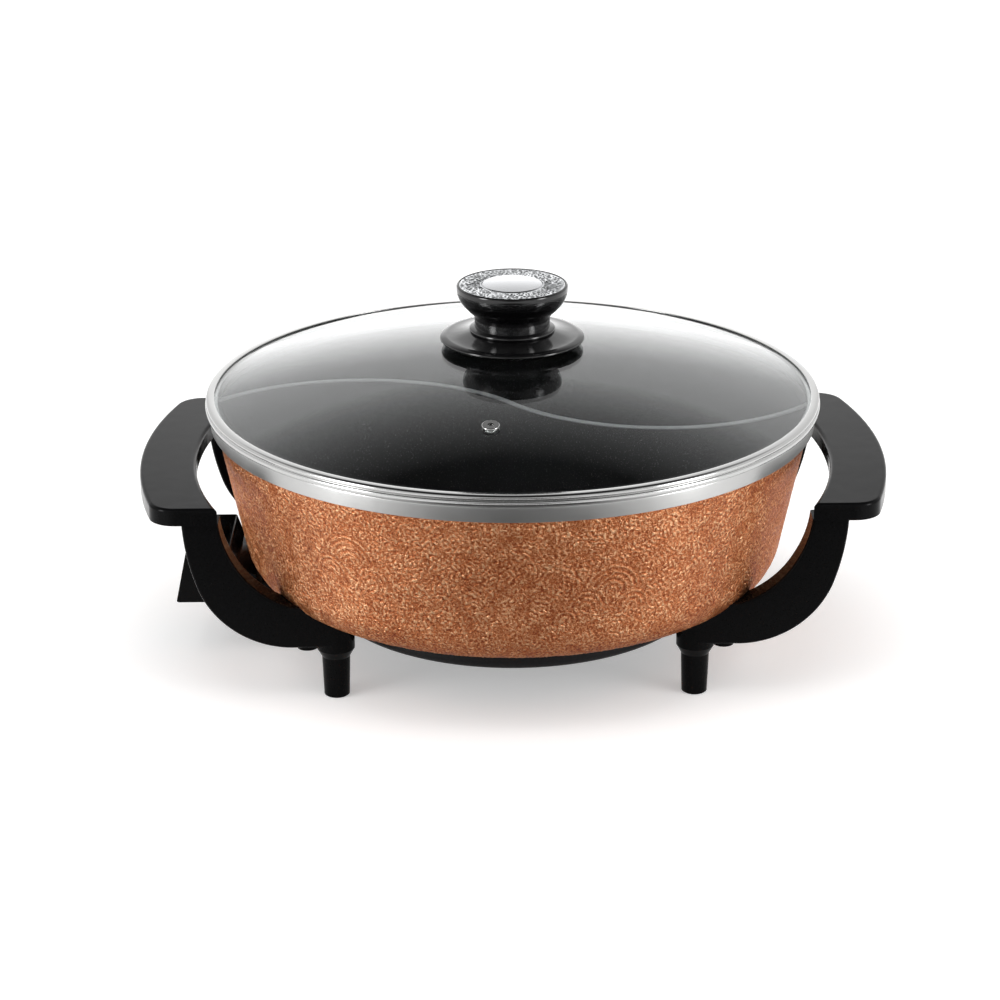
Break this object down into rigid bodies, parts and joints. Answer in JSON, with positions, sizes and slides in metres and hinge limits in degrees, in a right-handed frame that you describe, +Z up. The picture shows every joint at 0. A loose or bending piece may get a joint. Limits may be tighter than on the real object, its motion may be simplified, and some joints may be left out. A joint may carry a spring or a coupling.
{
  "type": "electric hot pot",
  "caption": "Wide round electric hot pot with an S-shaped divider, lift-off glass lid with knob, curved side handles on feet and a plug-in temperature control.",
  "frame": {"origin": "on the floor under the pot's axis, at the middle of the four feet", "axes": "+Z up, +X to the right along the line of the two grips, front towards -Y, control towards -X"},
  "size_m": [0.438, 0.36, 0.2219],
  "materials": {
    "cast_coated_aluminium": "copper-coloured baked enamel on cast relief, turned bright rim band, dark non-stick inside",
    "nonstick_coating": "dark grey non-stick coating",
    "element_sheath": "heat-dulled tube",
    "nickel_pins": "nickel plated",
    "probe_steel": "drawn steel",
    "black_sheet_steel": "black heat-proof paint",
    "zinc_screws": "zinc plated",
    "black_phenolic": "glossy black moulded phenolic",
    "foot_rubber": "matt",
    "tempered_glass": "clear",
    "stainless_rim": "polished",
    "clear_silicone": "translucent",
    "embossed_cap": "embossed, silver lacquer",
    "polished_cap": "polished",
    "brass_insert": "turned",
    "lamp_lens": "clear moulded"
  },
  "bodies": {
    "pot": {"arm_screws": "zinc_screws", "base_cover": "black_sheet_steel", "base_screws": "zinc_screws", "divider_wall": "nonstick_coating", "foot_pads": "foot_rubber", "grip_screws": "zinc_screws", "guard_screws": "zinc_screws", "heating_element": "element_sheath", "left_front_arm": "black_phenolic", "left_front_foot": "black_phenolic", "left_grip": "black_phenolic", "left_rear_arm": "black_phenolic", "left_rear_foot": "black_phenolic", "pot_body": "cast_coated_aluminium", "probe_tube": "probe_steel", "right_front_arm": "black_phenolic", "right_front_foot": "black_phenolic", "right_grip": "black_phenolic", "right_rear_arm": "black_phenolic", "right_rear_foot": "black_phenolic", "terminal_guard": "black_phenolic", "terminal_pins": "nickel_pins"},
    "lid": {"lid_glass": "tempered_glass", "lid_rim": "stainless_rim", "rim_seal": "clear_silicone", "vent_eyelet": "stainless_rim", "knob_base": "black_phenolic", "knob_grip": "black_phenolic", "knob_insert": "brass_insert", "knob_cap_ring": "embossed_cap", "knob_medallion": "polished_cap", "knob_seal": "clear_silicone", "knob_washer": "zinc_screws", "knob_screw": "zinc_screws"},
    "control": {"control_base": "black_phenolic", "control_cover": "black_phenolic", "control_screws": "zinc_screws", "contact_nose": "black_phenolic", "contact_sleeves": "nickel_pins", "temperature_probe": "probe_steel", "thermostat_switch": "black_phenolic", "cord_inlet": "black_phenolic", "indicator_lens": "lamp_lens"},
    "dial": {"dial_knob": "black_phenolic", "dial_shaft": "brass_insert"}
  },
  "joints": [
    {"name": "lid_lift", "type": "slide", "parent": "pot", "child": "lid", "axis": [0, 0, 1], "range_m": [0, 0.2]},
    {"name": "control_pull", "type": "slide", "parent": "pot", "child": "control", "axis": [-1, 0, 0], "range_m": [0, 0.1]},
    {"name": "dial_turn", "type": "hinge", "parent": "control", "child": "dial", "pos_m": [-0.1802, 0, 0.0704], "axis": [0, 0, 1], "range_deg": [-280, 0]}
  ]
}
